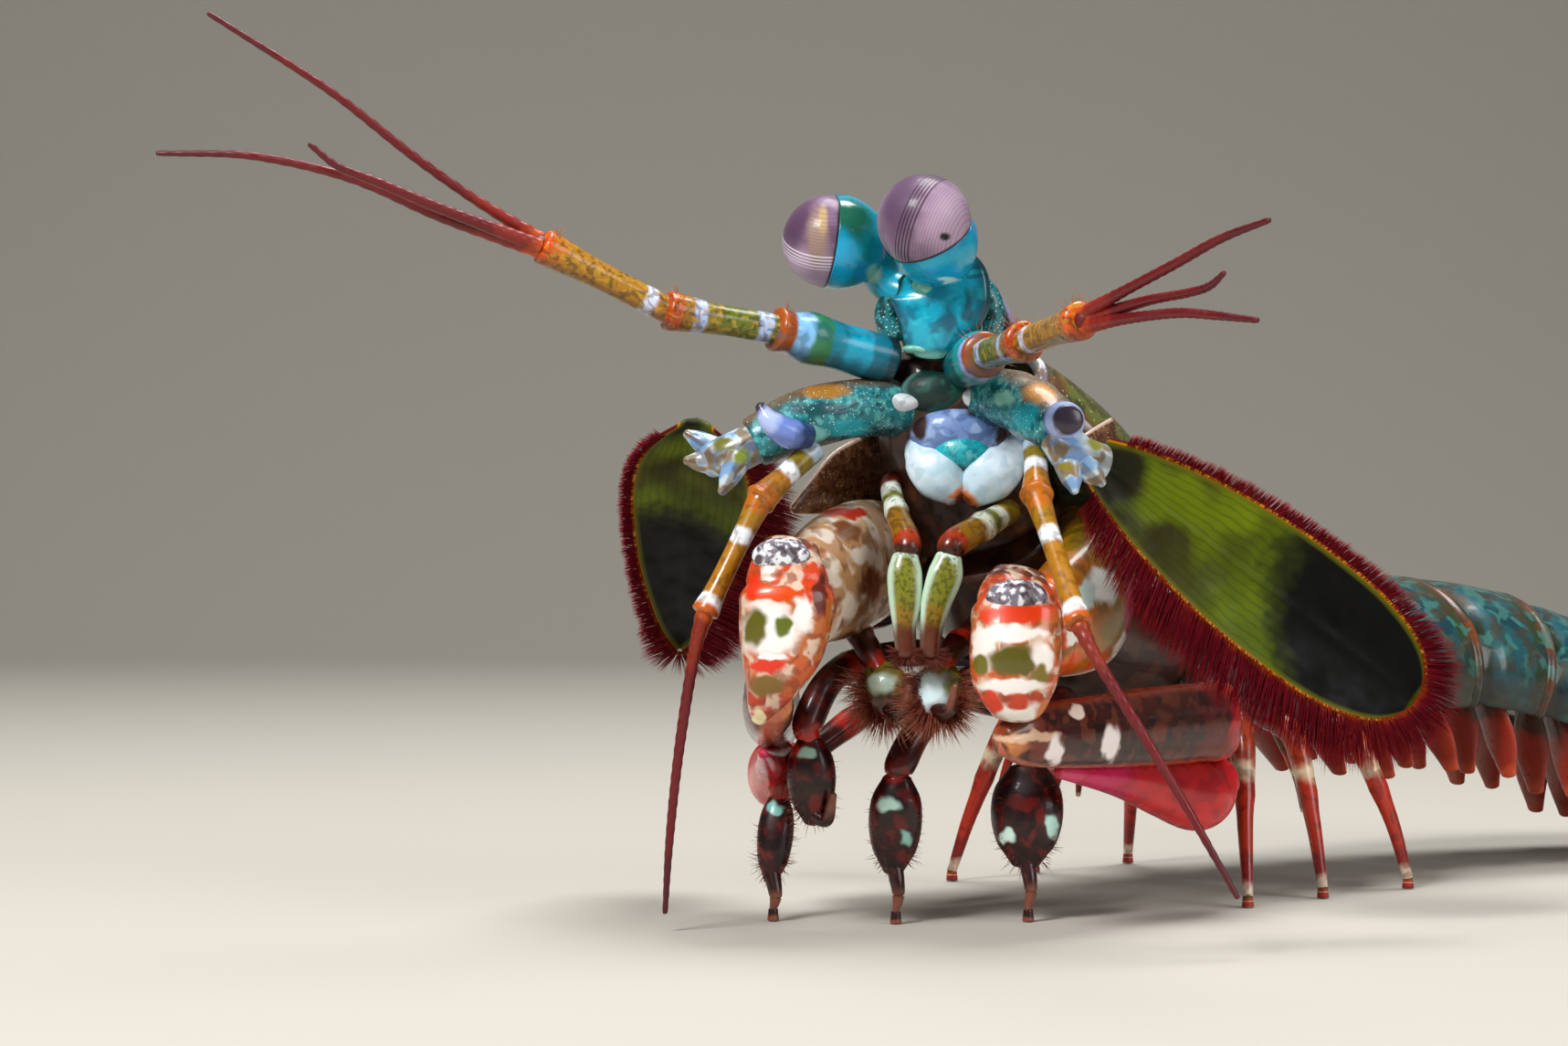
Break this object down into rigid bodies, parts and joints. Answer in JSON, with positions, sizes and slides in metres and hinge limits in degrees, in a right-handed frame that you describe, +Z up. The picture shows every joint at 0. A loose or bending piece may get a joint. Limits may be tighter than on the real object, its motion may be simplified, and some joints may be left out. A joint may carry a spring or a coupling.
{
  "type": "mantis shrimp",
  "caption": "Still, life-size peacock mantis shrimp, front end reared, feelers and paddle scales spread, resting on legs, mouth limbs and tail fan.",
  "frame": {"origin": "middle of the overall box of the whole animal, on the floor that it rests on", "axes": "+Z up, the face looks along -Y, the animal's left is +X, and the tail runs back towards +X and +Y"},
  "size_m": [0.1622, 0.1348, 0.0733],
  "materials": {
    "cornea": "wet gloss cornea, mauve",
    "turquoise_shell": "wet satin shell, turquoise",
    "olive_shell": "wet satin shell, olive green",
    "cream_shell": "wet satin shell, cream with spots",
    "crimson_feeler": "ringed feeler, dark red",
    "orange_feeler": "wet satin shell, banded orange",
    "maroon_shell": "wet satin shell, dark maroon",
    "scarlet_shell": "wet gloss shell, scarlet",
    "teal_shell": "wet satin shell, teal with rusty edges",
    "carapace_shell": "wet satin shell, olive brown"
  },
  "bodies": {
    "root": {"face": "turquoise_shell", "head": "turquoise_shell", "chest": "cream_shell", "carapace": "carapace_shell", "rostrum": "carapace_shell", "upper_lip": "turquoise_shell", "eye_right": "cornea", "eyestalk_right": "turquoise_shell", "jaw_right": "cream_shell", "antennule_right": "olive_shell", "antennule_feelers_right": "crimson_feeler", "antenna_root_right": "turquoise_shell", "antenna_joint_right": "cream_shell", "antenna_feeler_right": "orange_feeler", "eye_left": "cornea", "eyestalk_left": "turquoise_shell", "jaw_left": "cream_shell", "antennule_left": "olive_shell", "antennule_feelers_left": "crimson_feeler", "antenna_root_left": "turquoise_shell", "antenna_joint_left": "cream_shell", "antenna_feeler_left": "orange_feeler", "antennal_scale_right": "olive_shell", "antennal_scale_left": "olive_shell", "chest_somite_5": "teal_shell", "chest_somite_6": "teal_shell", "chest_somite_7": "teal_shell", "chest_somite_8": "teal_shell", "tail_somite_1": "teal_shell", "tail_somite_2": "teal_shell", "tail_somite_3": "teal_shell", "tail_somite_4": "teal_shell", "tail_somite_5": "teal_shell", "tail_somite_6": "teal_shell", "telson": "teal_shell", "uropod_right": "scarlet_shell", "uropod_left": "scarlet_shell", "club_arm_right": "olive_shell", "club_wrist_right": "cream_shell", "club_forearm_right": "maroon_shell", "club_hammer_right": "scarlet_shell", "club_arm_left": "olive_shell", "club_wrist_left": "cream_shell", "club_forearm_left": "maroon_shell", "club_hammer_left": "scarlet_shell", "cleaner_right": "cream_shell", "cleaner_left": "cream_shell", "picker_third_right": "maroon_shell", "picker_third_left": "maroon_shell", "picker_fourth_right": "maroon_shell", "picker_fourth_left": "maroon_shell", "picker_fifth_right": "maroon_shell", "picker_fifth_left": "maroon_shell", "leg_1_right": "scarlet_shell", "leg_1_left": "scarlet_shell", "leg_2_right": "scarlet_shell", "leg_2_left": "scarlet_shell", "leg_3_right": "scarlet_shell", "leg_3_left": "scarlet_shell"}
  },
  "joints": []
}
